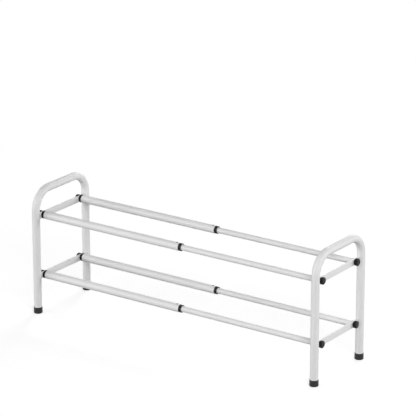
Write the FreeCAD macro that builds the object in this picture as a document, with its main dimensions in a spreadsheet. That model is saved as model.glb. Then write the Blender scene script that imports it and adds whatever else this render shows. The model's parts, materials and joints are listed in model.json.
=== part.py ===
import FreeCAD, Part
import os
import re
import Sketcher
from FreeCAD import Placement, Rotation, Vector

# Expandable two-tier shoe rack in millimetres.
# Two bent-tube end frames are joined by four telescopic rails, and the right frame slides along X.
# The origin is on the floor under the middle of the pulled-out rack, with the front towards -Y.

SIZES = {
    # End frames: one tube bent to a U, legs down
    "leg_spread": 220,
    "frame_height": 360,
    "frame_tube": 22,
    "frame_wall": 1.2,
    "bend_radius": 55,
    # Heights of the rail axes above the floor, and their distance from the leg axes
    "lower_tier": 106,
    "tier_step": 173,
    "rail_inset": 27,
    # Flat crossbars welded between the legs, set inward of the leg axes
    "bar_height": 18,
    "bar_thick": 4,
    "bar_shift": 3,
    "bar_edge": 0.8,
    "weld_bead": 1.6,
    "weld_margin": 2,
    "weld_gap": 0.05,
    # Telescopic rails: the length of the outer tube drives the length of the rack
    "rail_length": 447.8,
    "outer_rail": 22,
    "outer_wall": 1,
    "inner_rail": 16,
    "inner_wall": 1,
    # Collar on the open end of the outer tube
    "collar_long": 8.2,
    "collar_step": 0.5,
    "sleeve_long": 12.4,
    "collar_round": 1,
    # Snap button on a tongue of the collar's sleeve, which holds it in a hole of the outer tube
    "snap_in": 8.4,
    "snap_wide": 5,
    "snap_proud": 0.3,
    "snap_round": 0.4,
    "tongue_root": 3,
    "tongue_edge": 0.6,
    "tongue_slot": 0.8,
    # Glide on the inner end of the inner tube
    "glide_head": 8,
    "glide_spigot": 14,
    "glide_bore": 8,
    # Plugs between the rails and the crossbars
    "outer_flange": 7.7,
    "outer_depth": 10.8,
    "inner_flange": 2,
    "inner_lip": 0.5,
    "inner_depth": 16,
    "flange_round": 0.6,
    # Screws and the caps that cover their heads
    "screw_thread": 5,
    "screw_long": 20,
    "head_wide": 9.5,
    "head_high": 3,
    "head_crown": 1,
    "socket_wide": 3,
    "socket_deep": 1.8,
    "cap_wide": 19.8,
    "cap_high": 11,
    "cap_base": 16.2,
    "cap_flare": 2.4,
    "cap_face": 13,
    "cap_dome": 2.2,
    "cap_dish": 0.6,
    "cap_round": 1.2,
    # Foot caps pushed over the leg ends
    "foot_high": 17.9,
    "foot_floor": 4,
    "foot_top": 24,
    "foot_base": 24.8,
    "foot_round": 2.2,
    "foot_lip": 0.3,
    # Lead-in chamfer of pushed-in pieces, and the clearances of fixed, screwed and sliding fits
    "lead_in": 0.8,
    "fit_gap": 0.05,
    "hole_gap": 0.25,
    "slide_gap": 0.3,
    "stop_gap": 0.3,
    "closed_gap": 7.3,
}

# Formulas that several pieces share
RAIL_Y = "(leg_spread / 2 - rail_inset)"
UPPER_TIER = "(lower_tier + tier_step)"
BAR_IN = "(bar_shift + bar_thick / 2)"
BAR_OUT = "(bar_shift - bar_thick / 2)"
OUTER_START = f"({BAR_IN} + outer_flange)"
INNER_START = f"({BAR_IN} + inner_flange)"
TRAVEL = "(rail_length - outer_depth - sleeve_long - glide_head - 2 * stop_gap)"
CLOSED_SPAN = f"({OUTER_START} + rail_length + collar_long + closed_gap + {INNER_START})"
HALF_SPAN = f"(({CLOSED_SPAN} + {TRAVEL}) / 2)"
INNER_LENGTH = f"({CLOSED_SPAN} - {OUTER_START} - outer_depth - stop_gap - glide_head - {INNER_START})"
OUTER_BORE = "(outer_rail / 2 - outer_wall)"
INNER_BORE = "(inner_rail / 2 - inner_wall)"

TURNED = Rotation(Vector(0, 0, 1), 180)
STRAIGHT = Rotation()

doc = FreeCAD.newDocument("shoe_rack")
sheet = doc.addObject("Spreadsheet::Sheet", "Sizes")
for row, (alias, value) in enumerate(SIZES.items(), 1):
    sheet.set(f"A{row}", alias)
    sheet.set(f"B{row}", str(value))
    sheet.setAlias(f"B{row}", alias)
doc.recompute()

nodes = []


def formula(text):
    """Names of sizes become references to the sheet's cells."""
    return re.sub(r"[a-z_]+", lambda word: f"Sizes.{word[0]}" if word[0] in SIZES else word[0], text)


def number(text):
    return float(sheet.evalExpression(formula(text)))


def new_body(label):
    return doc.addObject("PartDesign::Body", label)


def place(obj, x, y, z, rotation=STRAIGHT):
    """Put a piece at a point whose coordinates are formulas."""
    obj.Placement = Placement(Vector(number(x), number(y), number(z)), rotation)
    for axis, text in zip("xyz", (x, y, z)):
        obj.setExpression(f"Placement.Base.{axis}", formula(text))


def new_sketch(body, name, plane, lift=None):
    """A sketch on one of the body's own origin planes, or lifted off it along its normal."""
    sketch = body.newObject("Sketcher::SketchObject", f"{body.Name}_{name}")
    sketch.AttachmentSupport = (next(f for f in body.Origin.OriginFeatures if f.Role == plane), "")
    sketch.MapMode = "FlatFace"
    if lift:
        sketch.setExpression("AttachmentOffset.Base.z", formula(lift))
    return sketch


def dimension(sketch, kind, *items):
    """A driving constraint whose last item is a formula."""
    *where, text = items
    index = sketch.addConstraint(Sketcher.Constraint(kind, *where, number(text)))
    sketch.setExpression(f"Constraints[{index}]", formula(text))


def pin(sketch, geometry, point, x, y):
    """Hold a point at a place given by two formulas."""
    for kind, axis, text in (("DistanceX", -2, x), ("DistanceY", -1, y)):
        if text is None:
            continue
        if text == "0":
            sketch.addConstraint(Sketcher.Constraint("PointOnObject", geometry, point, axis))
        elif number(text) < 0:
            dimension(sketch, kind, geometry, point, -1, 1, f"-({text})")
        else:
            dimension(sketch, kind, -1, 1, geometry, point, text)


def outline(sketch, corners):
    """A closed polygon through corners given as pairs of formulas."""
    points = [Vector(number(x), number(y), 0) for x, y in corners]
    ends = points[1:] + points[:1]
    sides = [sketch.addGeometry(Part.LineSegment(*line), False) for line in zip(points, ends)]
    for side, after in zip(sides, sides[1:] + sides[:1]):
        sketch.addConstraint(Sketcher.Constraint("Coincident", side, 2, after, 1))
    for side, (x, y) in zip(sides, corners):
        pin(sketch, side, 1, x, y)


def circle(sketch, x, y, radius):
    centre = Vector(number(x), number(y), 0)
    index = sketch.addGeometry(Part.Circle(centre, Vector(0, 0, 1), number(radius)), False)
    pin(sketch, index, 3, x, y)
    dimension(sketch, "Radius", index, radius)


def pad(body, sketch, length, symmetric=False):
    feature = body.newObject("PartDesign::Pad", f"{sketch.Name}_pad")
    feature.Profile = sketch
    feature.setExpression("Length", formula(length))
    feature.SideType = "Symmetric" if symmetric else "One side"
    return feature


def cut_through(body, sketch, one_way=False):
    """Cut to both sides of a sketch, or only along its normal."""
    feature = body.newObject("PartDesign::Pocket", f"{sketch.Name}_cut")
    feature.Profile = sketch
    feature.Type = "ThroughAll"
    feature.SideType = "One side" if one_way else "Symmetric"
    feature.Reversed = one_way
    return feature


def revolve(body, corners, axis="H_Axis"):
    """Turn a closed profile about the X axis, or about the Z axis when axis is V_Axis."""
    sketch = new_sketch(body, "profile", "XZ_Plane")
    outline(sketch, corners)
    feature = body.newObject("PartDesign::Revolution", f"{body.Name}_turned")
    feature.Profile = sketch
    feature.ReferenceAxis = (sketch, [axis])
    feature.Angle = 360
    doc.recompute()
    return feature


def round_edges(body, feature, name, radius, test):
    """Fillet the edges of a feature that pass a test."""
    names = [f"Edge{i}" for i, edge in enumerate(feature.Shape.Edges, 1) if test(edge)]
    fillet = body.newObject("PartDesign::Fillet", f"{body.Name}_{name}")
    fillet.Base = (feature, names)
    fillet.setExpression("Radius", formula(radius))
    doc.recompute()
    return fillet


def ring_at(axis, position, radius):
    """A test for circular edges of one radius at one place along an axis."""
    place_now = number(position)
    radius_now = number(radius)

    def test(edge):
        curve = edge.Curve
        if not isinstance(curve, Part.Circle):
            return False
        return abs(curve.Radius - radius_now) < 1e-4 and abs(getattr(curve.Center, axis) - place_now) < 1e-4

    return test


def end_frame(label, x):
    """One tube swept along a U of two legs, two bends and a top."""
    body = new_body(label)
    path = new_sketch(body, "path", "YZ_Plane")
    half = number("leg_spread / 2")
    bend = number("bend_radius")
    foot = number("foot_floor")
    top = number("frame_height - frame_tube / 2")
    normal = Vector(0, 0, 1)
    left_turn = Part.Circle(Vector(bend - half, top - bend, 0), normal, bend)
    right_turn = Part.Circle(Vector(half - bend, top - bend, 0), normal, bend)
    quarter = Part.Circle().LastParameter / 4
    path.addGeometry(Part.LineSegment(Vector(-half, foot, 0), Vector(-half, top - bend, 0)), False)
    path.addGeometry(Part.ArcOfCircle(left_turn, quarter, 2 * quarter), False)
    path.addGeometry(Part.LineSegment(Vector(bend - half, top, 0), Vector(half - bend, top, 0)), False)
    path.addGeometry(Part.ArcOfCircle(right_turn, 0, quarter), False)
    path.addGeometry(Part.LineSegment(Vector(half, top - bend, 0), Vector(half, foot, 0)), False)
    for ends in ((0, 2, 1, 2), (1, 1, 2, 1), (2, 2, 3, 2), (3, 1, 4, 1)):
        path.addConstraint(Sketcher.Constraint("Tangent", *ends))
    path.addConstraint(Sketcher.Constraint("Vertical", 0))
    path.addConstraint(Sketcher.Constraint("Vertical", 4))
    path.addConstraint(Sketcher.Constraint("Horizontal", 2))
    path.addConstraint(Sketcher.Constraint("Equal", 1, 3))
    dimension(path, "Radius", 1, "bend_radius")
    pin(path, 0, 1, "-leg_spread / 2", "foot_floor")
    pin(path, 4, 2, "leg_spread / 2", "foot_floor")
    pin(path, 2, 1, None, "frame_height - frame_tube / 2")
    section = new_sketch(body, "section", "XY_Plane", "foot_floor")
    circle(section, "0", "-leg_spread / 2", "frame_tube / 2")
    circle(section, "0", "-leg_spread / 2", "frame_tube / 2 - frame_wall")
    tube = body.newObject("PartDesign::AdditivePipe", f"{label}_tube")
    tube.Profile = section
    tube.Spine = (path, [f"Edge{i}" for i in range(1, 6)])
    place(body, x, "0", "0")
    nodes.append(body)


def crossbar(label, x, z, rotation):
    """Flat bar along Y, coped to both legs, with weld beads in the corners and two screw holes."""
    body = new_body(label)
    section = new_sketch(body, "section", "XZ_Plane")
    half_thick, half_high = "bar_thick / 2", "bar_height / 2"
    outline(section, [(f"-{half_thick}", f"-{half_high}"), (half_thick, f"-{half_high}"),
                      (half_thick, half_high), (f"-{half_thick}", half_high)])
    bar = pad(body, section, "leg_spread", symmetric=True)
    doc.recompute()
    long_edge = number("leg_spread")
    round_edges(body, bar, "edges", "bar_edge", lambda edge: abs(edge.Length - long_edge) < 1e-4)
    welds = new_sketch(body, "welds", "XY_Plane")
    for face, reach in ((half_thick, BAR_IN), (f"-{half_thick}", BAR_OUT)):
        corner = f"(leg_spread / 2 - sqrt((frame_tube / 2)^2 - {reach}^2))"
        circle(welds, face, corner, "weld_bead")
        circle(welds, face, f"-{corner}", "weld_bead")
    pad(body, welds, "bar_height - 2 * weld_margin", symmetric=True)
    legs = new_sketch(body, "legs", "XY_Plane")
    circle(legs, "-bar_shift", "leg_spread / 2", "frame_tube / 2 + weld_gap")
    circle(legs, "-bar_shift", "-leg_spread / 2", "frame_tube / 2 + weld_gap")
    cut_through(body, legs)
    holes = new_sketch(body, "holes", "YZ_Plane")
    circle(holes, RAIL_Y, "0", "screw_thread / 2 + hole_gap")
    circle(holes, f"-{RAIL_Y}", "0", "screw_thread / 2 + hole_gap")
    cut_through(body, holes)
    place(body, x, "0", z, rotation)
    nodes.append(body)


def foot(label, x, y):
    """Cup with a flared wall that the leg stands in."""
    body = new_body(label)
    bore = "frame_tube / 2 + fit_gap"
    cup = revolve(body, [("0", "0"), ("foot_base / 2", "0"), ("foot_top / 2", "foot_high"),
                         (bore, "foot_high"), (bore, "foot_floor"), ("0", "foot_floor")], "V_Axis")
    base = round_edges(body, cup, "base_round", "foot_round", ring_at("z", "0", "foot_base / 2"))
    round_edges(body, base, "lip_round", "foot_lip", ring_at("z", "foot_high", "foot_top / 2"))
    place(body, x, y, "0")
    nodes.append(body)


def rail(label, radius, bore, length, x, y, z, snap_hole=None):
    """Straight tube along X, with a hole in its top if one is placed along it."""
    body = new_body(label)
    section = new_sketch(body, "section", "YZ_Plane")
    circle(section, "0", "0", radius)
    circle(section, "0", "0", bore)
    pad(body, section, length)
    if snap_hole:
        hole = new_sketch(body, "snap_hole", "XY_Plane")
        circle(hole, snap_hole, "0", "snap_wide / 2 + hole_gap")
        cut_through(body, hole, one_way=True)
    place(body, x, y, z)
    nodes.append(body)


def collar(label, x, y, z):
    """Slide bush: a rim outside the outer tube, and a sleeve inside it with a snap button on a tongue."""
    body = new_body(label)
    rim = "outer_rail / 2 - collar_step"
    sleeve = f"{OUTER_BORE} - fit_gap"
    bore = "inner_rail / 2 + slide_gap"
    bush = revolve(body, [("-sleeve_long", bore), ("collar_long - lead_in", bore),
                          ("collar_long", f"{bore} + lead_in"), ("collar_long", rim), ("0", rim),
                          ("0", sleeve), ("lead_in - sleeve_long", sleeve),
                          ("-sleeve_long", f"{sleeve} - lead_in")])
    round_edges(body, bush, "rim_round", "collar_round", ring_at("x", "collar_long", rim))
    slots = new_sketch(body, "slots", "XY_Plane")
    near, far = "snap_wide / 2 + tongue_edge", "snap_wide / 2 + tongue_edge + tongue_slot"
    root, end = "-tongue_root", "-(sleeve_long + lead_in)"
    outline(slots, [(end, near), (root, near), (root, far), (end, far)])
    outline(slots, [(end, f"-({far})"), (root, f"-({far})"), (root, f"-({near})"), (end, f"-({near})")])
    cut_through(body, slots, one_way=True)
    button = new_sketch(body, "button", "XY_Plane", f"({bore} + {sleeve}) / 2")
    circle(button, "-snap_in", "0", "snap_wide / 2")
    top = "outer_rail / 2 + snap_proud"
    snap = pad(body, button, f"{top} - ({bore} + {sleeve}) / 2")
    doc.recompute()
    round_edges(body, snap, "button_round", "snap_round", ring_at("z", top, "snap_wide / 2"))
    place(body, x, y, z)
    nodes.append(body)


def glide(label, x, y, z):
    """Bush on the end of the inner tube: its head runs in the outer tube and stops on the collar."""
    body = new_body(label)
    head = f"{OUTER_BORE} - slide_gap"
    spigot = f"{INNER_BORE} - fit_gap"
    revolve(body, [("-glide_head", "glide_bore / 2"), ("glide_spigot", "glide_bore / 2"),
                   ("glide_spigot", f"{spigot} - lead_in"), ("glide_spigot - lead_in", spigot), ("0", spigot),
                   ("0", head), ("lead_in - glide_head", head), ("-glide_head", f"{head} - lead_in")])
    place(body, x, y, z)
    nodes.append(body)


def plug(label, flange, lip, spigot, depth, x, y, z, rotation):
    """Rail plug: a flange against the crossbar and a spigot in the tube, bored for the screw."""
    body = new_body(label)
    bore = "screw_thread / 2 + fit_gap"
    end = f"{flange} + {depth}"
    turned = revolve(body, [("0", bore), (end, bore), (end, f"{spigot} - lead_in"),
                            (f"{end} - lead_in", spigot), (flange, spigot), (flange, lip), ("0", lip)])
    round_edges(body, turned, "flange_round", "flange_round", ring_at("x", "0", lip))
    place(body, x, y, z, rotation)
    nodes.append(body)


def cap(label, x, y, z, rotation):
    """Round cover pushed over a screw head, waisted at the bar, domed outside with a shallow dish."""
    body = new_body(label)
    socket = "head_wide / 2 + fit_gap"
    shoulder = "cap_high - cap_dome"
    cover = revolve(body, [("0", socket), ("head_high + hole_gap", socket), ("head_high + hole_gap", "0"),
                           ("cap_high - cap_dish", "0"), ("cap_high", "cap_face / 2"),
                           (shoulder, "cap_wide / 2"), ("cap_flare", "cap_wide / 2"), ("0", "cap_base / 2")])
    rims = (ring_at("x", shoulder, "cap_wide / 2"), ring_at("x", "cap_flare", "cap_wide / 2"),
            ring_at("x", "cap_high", "cap_face / 2"))
    round_edges(body, cover, "rims_round", "cap_round", lambda edge: any(test(edge) for test in rims))
    place(body, x, y, z, rotation)
    nodes.append(body)


def screw(label, x, y, z, rotation):
    """Crowned-head screw with a hexagon socket."""
    body = new_body(label)
    shank = "screw_thread / 2"
    revolve(body, [("-screw_long", "0"), ("head_high", "0"), ("head_high", "head_wide / 2 - head_crown"),
                   ("head_high - head_crown", "head_wide / 2"), ("0", "head_wide / 2"), ("0", shank),
                   ("lead_in - screw_long", shank), ("-screw_long", f"{shank} - lead_in")])
    socket = new_sketch(body, "socket", "YZ_Plane", "head_high")
    flat, corner = "socket_wide / 2", "socket_wide / sqrt(3)"
    outline(socket, [(corner, "0"), (f"{corner} / 2", flat), (f"-{corner} / 2", flat), (f"-{corner}", "0"),
                     (f"-{corner} / 2", f"-{flat}"), (f"{corner} / 2", f"-{flat}")])
    drive = body.newObject("PartDesign::Pocket", f"{label}_drive")
    drive.Profile = socket
    drive.setExpression("Length", formula("socket_deep"))
    place(body, x, y, z, rotation)
    return body


# The two frames, with their crossbars and feet
LEGS = (("front", "-leg_spread / 2"), ("rear", "leg_spread / 2"))
TIERS = (("upper", UPPER_TIER), ("lower", "lower_tier"))
ROWS = (("front", f"-{RAIL_Y}"), ("rear", RAIL_Y))
for side, sign, inward in (("left", "-", STRAIGHT), ("right", "", TURNED)):
    plane = f"{sign}{HALF_SPAN}"
    towards_middle = "+" if side == "left" else "-"
    end_frame(f"{side}_end_frame", plane)
    for tier, z in TIERS:
        crossbar(f"{side}_{tier}_crossbar", f"{plane} {towards_middle} bar_shift", z, inward)
    for leg, y in LEGS:
        foot(f"{side}_{leg}_foot", plane, y)

# The four telescopic rails
LEFT, RIGHT = f"-{HALF_SPAN}", HALF_SPAN
OUTER_FACES = (("left", f"{LEFT} + {BAR_OUT}", TURNED), ("right", f"{RIGHT} - {BAR_OUT}", STRAIGHT))
for tier, z in TIERS:
    for line, y in ROWS:
        name = f"{tier}_{line}"
        inner_x = f"{RIGHT} - {INNER_START} - {INNER_LENGTH}"
        outer_x = f"{LEFT} + {OUTER_START}"
        rail(f"{name}_outer_rail", "outer_rail / 2", OUTER_BORE, "rail_length", outer_x, y, z,
             "rail_length - snap_in")
        rail(f"{name}_inner_rail", "inner_rail / 2", INNER_BORE, INNER_LENGTH, inner_x, y, z)
        collar(f"{name}_slide_collar", f"{outer_x} + rail_length", y, z)
        glide(f"{name}_inner_glide", inner_x, y, z)
        plug(f"{name}_outer_plug", "outer_flange", "outer_rail / 2", f"{OUTER_BORE} - fit_gap", "outer_depth",
             f"{LEFT} + {BAR_IN}", y, z, STRAIGHT)
        plug(f"{name}_inner_plug", "inner_flange", "inner_rail / 2 + inner_lip", f"{INNER_BORE} - fit_gap",
             "inner_depth", f"{RIGHT} - {BAR_IN}", y, z, TURNED)
        for side, x, rotation in OUTER_FACES:
            cap(f"{name}_{side}_cap", x, y, z, rotation)

# The screws of each frame, as one group
for side, x, rotation in OUTER_FACES:
    group = doc.addObject("Part::Compound", f"{side}_rail_screws")
    group.Links = [
        screw(f"{side}_{tier}_{line}_screw", x, y, z, rotation)
        for tier, z in TIERS
        for line, y in ROWS
    ]
    nodes.append(group)

doc.recompute()
for obj in doc.Objects:
    if {"Invalid", "Error"} & set(obj.State):
        raise RuntimeError(f"{obj.Label} failed: {obj.State}")
for node in nodes:
    solids = len(TIERS) * len(ROWS) if node.TypeId == "Part::Compound" else 1
    if node.Shape.isNull() or not node.Shape.isValid() or len(node.Shape.Solids) != solids:
        raise RuntimeError(f"{node.Label} is not a sound piece")

os.makedirs("parts", exist_ok=True)
for node in nodes:
    node.Shape.exportStep(f"parts/{node.Label}.step")
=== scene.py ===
import json
import math
import bpy
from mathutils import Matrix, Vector

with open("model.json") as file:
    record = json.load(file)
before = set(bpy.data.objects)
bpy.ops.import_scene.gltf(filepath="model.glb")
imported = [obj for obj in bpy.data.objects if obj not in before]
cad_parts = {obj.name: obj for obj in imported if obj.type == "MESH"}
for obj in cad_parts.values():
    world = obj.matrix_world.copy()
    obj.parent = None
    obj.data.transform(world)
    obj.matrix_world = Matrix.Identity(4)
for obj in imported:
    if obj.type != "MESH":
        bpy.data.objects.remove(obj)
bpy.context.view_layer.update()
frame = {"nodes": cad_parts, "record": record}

# Looks of the expandable shoe rack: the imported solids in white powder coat, black plastic and zinc.
# Metres, in the frame of the solids: X along the rails, the front towards -Y, the floor at Z = 0.

# Camera of the photograph, taken to be 416 x 416, with its lens and sensor in millimetres
AZIMUTH = math.radians(34.825)
ELEVATION = math.radians(18.95)
CAMERA_AT = (3.5495, -5.0402, 2.4778)
LENS = 213.49
SENSOR = 36

# Light: a faint even room and four large lamps round the rack. Each lamp has the degrees that it is
# turned from the camera and raised above the rack's middle, its width and height, and its watts.
WHITE = (1, 1, 1, 1)
ROOM_LEVEL = 0.06
LAMP_AIM = Vector((0, 0, 0.18))
LAMP_DISTANCE = 5
LAMPS = (
    ("left_lamp", -76, 13, 6.0, 2.2, 171),
    ("right_lamp", 90, 12, 3.4, 2.0, 100),
    ("front_lamp", 16, 25, 3.0, 3.6, 147),
    ("back_lamp", 160, 22, 2.2, 1.5, 110),
)

# Floor: grey in the light that it sends to the rack, but white to look at. A glow and the lamps add up
# to white outside the shadows, which fade out between two distances from the middle of the floor.
FLOOR_SIZE = 40
FLOOR_BOUNCE = (0.18, 0.18, 0.18, 1)
FLOOR_SHADE = (0.6, 0.6, 0.6, 1)
FLOOR_GLOW = 0.62
SHADOW_NEAR = 0.8
SHADOW_FAR = 1.8

# Noise values at which a range of colours or numbers starts and ends
NOISE_LOW = 0.3
NOISE_HIGH = 0.7


def direction(azimuth, elevation):
    """From the rack outwards: azimuth round from the front towards +X, elevation up from level."""
    level = math.cos(elevation)
    return Vector((math.sin(azimuth) * level, -math.cos(azimuth) * level, math.sin(elevation)))


def place(name, data, location, facing):
    """A camera or lamp in the scene, facing along a direction."""
    placed = bpy.data.objects.new(name, data)
    placed.location = location
    placed.rotation_mode = "QUATERNION"
    placed.rotation_quaternion = facing.to_track_quat("-Z", "Y")
    bpy.context.scene.collection.objects.link(placed)
    return placed


def new_tree(owner):
    owner.use_nodes = True
    tree = owner.node_tree
    tree.nodes.clear()
    return tree


def node(tree, kind, inputs=(), **settings):
    """A shader node with its settings, and its inputs given as values or as other nodes' outputs."""
    made = tree.nodes.new(kind)
    for name, value in settings.items():
        setattr(made, name, value)
    for name, value in dict(inputs).items():
        if isinstance(value, bpy.types.NodeSocket):
            tree.links.new(value, made.inputs[name])
        else:
            made.inputs[name].default_value = value
    return made


def larger(tree, first, second):
    return node(tree, "ShaderNodeMath", {0: first, 1: second}, operation="MAXIMUM").outputs[0]


def mixed(tree, share, first, second):
    """A shader that is the first at a share of 0 and the second at 1."""
    return node(tree, "ShaderNodeMixShader", {0: share, 1: first, 2: second}).outputs[0]


def seen_directly(tree):
    """1 for rays that show the background: from the camera, a reflection or glass."""
    rays = node(tree, "ShaderNodeLightPath").outputs
    shown = larger(tree, rays["Is Camera Ray"], rays["Is Glossy Ray"])
    return larger(tree, shown, rays["Is Transmission Ray"])


def make_camera():
    data = bpy.data.cameras.new("camera")
    data.sensor_width = SENSOR
    data.lens = LENS
    bpy.context.scene.camera = place("camera", data, CAMERA_AT, -direction(AZIMUTH, ELEVATION))


def make_lamps():
    for name, turn, rise, width, height, watts in LAMPS:
        data = bpy.data.lights.new(name, "AREA")
        data.shape = "RECTANGLE"
        data.size = width
        data.size_y = height
        data.energy = watts
        towards = direction(AZIMUTH + math.radians(turn), math.radians(rise))
        place(name, data, LAMP_AIM + towards * LAMP_DISTANCE, -towards)


def make_room():
    """Faint light from all round, and plain white to look at."""
    world = bpy.data.worlds.new("room")
    bpy.context.scene.world = world
    tree = new_tree(world)
    faint = node(tree, "ShaderNodeBackground", {"Color": WHITE, "Strength": ROOM_LEVEL}).outputs[0]
    white = node(tree, "ShaderNodeBackground", {"Color": WHITE, "Strength": 1}).outputs[0]
    room = mixed(tree, seen_directly(tree), faint, white)
    node(tree, "ShaderNodeOutputWorld", {"Surface": room})


def pale_floor():
    """Floor that shows soft shadows near the rack and turns into the white background."""
    material = bpy.data.materials.new("pale_floor")
    tree = new_tree(material)
    bounce = node(tree, "ShaderNodeBsdfDiffuse", {"Color": FLOOR_BOUNCE}).outputs[0]
    shade = node(tree, "ShaderNodeBsdfDiffuse", {"Color": FLOOR_SHADE}).outputs[0]
    glow = node(tree, "ShaderNodeEmission", {"Color": WHITE, "Strength": FLOOR_GLOW}).outputs[0]
    near = node(tree, "ShaderNodeAddShader", {0: shade, 1: glow}).outputs[0]
    far = node(tree, "ShaderNodeEmission", {"Color": WHITE, "Strength": 1}).outputs[0]
    where = node(tree, "ShaderNodeTexCoord").outputs["Object"]
    away = node(tree, "ShaderNodeVectorMath", {0: where}, operation="LENGTH").outputs["Value"]
    limits = {"Value": away, "From Min": SHADOW_NEAR, "From Max": SHADOW_FAR}
    fade = node(tree, "ShaderNodeMapRange", limits, interpolation_type="SMOOTHSTEP").outputs["Result"]
    floor = mixed(tree, seen_directly(tree), bounce, mixed(tree, fade, near, far))
    node(tree, "ShaderNodeOutputMaterial", {"Surface": floor})
    return material


def make_floor():
    half = FLOOR_SIZE / 2
    corners = [(-half, -half, 0), (half, -half, 0), (half, half, 0), (-half, half, 0)]
    mesh = bpy.data.meshes.new("floor")
    mesh.from_pydata(corners, [], [(0, 1, 2, 3)])
    mesh.materials.append(pale_floor())
    floor = bpy.data.objects.new("floor", mesh)
    bpy.context.scene.collection.objects.link(floor)


def noise(tree, where, scale, detail, roughness=0.5):
    inputs = {"Vector": where, "Scale": scale, "Detail": detail, "Roughness": roughness}
    return node(tree, "ShaderNodeTexNoise", inputs).outputs["Fac"]


def spread(tree, value, low, high):
    """A noise value as a number in a range."""
    limits = {"Value": value, "From Min": NOISE_LOW, "From Max": NOISE_HIGH, "To Min": low, "To Max": high}
    return node(tree, "ShaderNodeMapRange", limits).outputs["Result"]


def tint(tree, value, dark, light):
    """A noise value as a colour between two."""
    ramp = node(tree, "ShaderNodeValToRGB", {"Fac": value})
    start, end = ramp.color_ramp.elements
    start.position = NOISE_LOW
    start.color = (*dark, 1)
    end.position = NOISE_HIGH
    end.color = (*light, 1)
    return ramp.outputs["Color"]


def bump(tree, height, strength, depth, under=None):
    """A noise value as a relief with a depth in metres, laid on the relief under it if there is one."""
    inputs = {"Height": height, "Strength": strength, "Distance": depth}
    if under is not None:
        inputs["Normal"] = under
    return node(tree, "ShaderNodeBump", inputs).outputs["Normal"]


def surface(tree, colour, roughness, normal, specular=0.5, metallic=0):
    inputs = {
        "Base Color": colour,
        "Roughness": roughness,
        "Normal": normal,
        "Specular IOR Level": specular,
        "Metallic": metallic,
    }
    shader = node(tree, "ShaderNodeBsdfPrincipled", inputs).outputs[0]
    node(tree, "ShaderNodeOutputMaterial", {"Surface": shader})


def new_finish(name):
    """A material with its empty tree, and the place on the solid that its noises follow."""
    material = bpy.data.materials.new(name)
    tree = new_tree(material)
    return material, tree, node(tree, "ShaderNodeTexCoord").outputs["Object"]


def powder_coat():
    """White baked powder: fine orange peel on long soft waves."""
    material, tree, where = new_finish("white_powder_coat")
    clouds = noise(tree, where, scale=9, detail=3)
    colour = tint(tree, clouds, dark=(0.83, 0.832, 0.83), light=(0.865, 0.866, 0.862))
    roughness = spread(tree, noise(tree, where, scale=70, detail=3), low=0.42, high=0.56)
    waves = bump(tree, noise(tree, where, scale=130, detail=1), strength=0.3, depth=0.0005)
    grain = noise(tree, where, scale=650, detail=2, roughness=0.4)
    peel = bump(tree, grain, strength=0.6, depth=0.0004, under=waves)
    surface(tree, colour, roughness, peel, specular=0.3)
    return material


def moulded_plastic():
    """Black moulded plastic with a fine eroded grain."""
    material, tree, where = new_finish("black_moulded_plastic")
    clouds = noise(tree, where, scale=180, detail=4)
    colour = tint(tree, clouds, dark=(0.004, 0.004, 0.0045), light=(0.009, 0.009, 0.01))
    roughness = spread(tree, noise(tree, where, scale=420, detail=3), low=0.3, high=0.44)
    grain = noise(tree, where, scale=2600, detail=2, roughness=0.6)
    surface(tree, colour, roughness, bump(tree, grain, strength=0.5, depth=0.00012), specular=0.17)
    return material


def foot_plastic():
    """Softer black plastic of the feet, duller and a little dusty."""
    material, tree, where = new_finish("black_foot_plastic")
    clouds = noise(tree, where, scale=140, detail=4)
    colour = tint(tree, clouds, dark=(0.005, 0.005, 0.005), light=(0.012, 0.0118, 0.0115))
    roughness = spread(tree, noise(tree, where, scale=300, detail=3), low=0.32, high=0.46)
    grain = noise(tree, where, scale=1900, detail=3, roughness=0.6)
    surface(tree, colour, roughness, bump(tree, grain, strength=0.5, depth=0.0002), specular=0.38)
    return material


def zinc_steel():
    """Zinc-plated steel of the screws, with a cloudy plating."""
    material, tree, where = new_finish("zinc_plated_steel")
    clouds = noise(tree, where, scale=240, detail=4)
    colour = tint(tree, clouds, dark=(0.55, 0.56, 0.58), light=(0.72, 0.73, 0.75))
    roughness = spread(tree, noise(tree, where, scale=700, detail=3), low=0.24, high=0.42)
    grain = noise(tree, where, scale=1500, detail=2)
    surface(tree, colour, roughness, bump(tree, grain, strength=0.2, depth=0.00005), metallic=1)
    return material


def dress_nodes():
    """Every solid gets the finish of its slot in the record."""
    finishes = {
        "white_powder_coat": powder_coat(),
        "black_moulded_plastic": moulded_plastic(),
        "black_foot_plastic": foot_plastic(),
        "zinc_plated_steel": zinc_steel(),
    }
    for piece in frame["record"]["subparts"]:
        materials = frame["nodes"][piece["node"]].data.materials
        materials.clear()
        materials.append(finishes[piece["material_slot"]])


bpy.context.scene.view_settings.view_transform = "Standard"
make_camera()
make_lamps()
make_room()
make_floor()
dress_nodes()
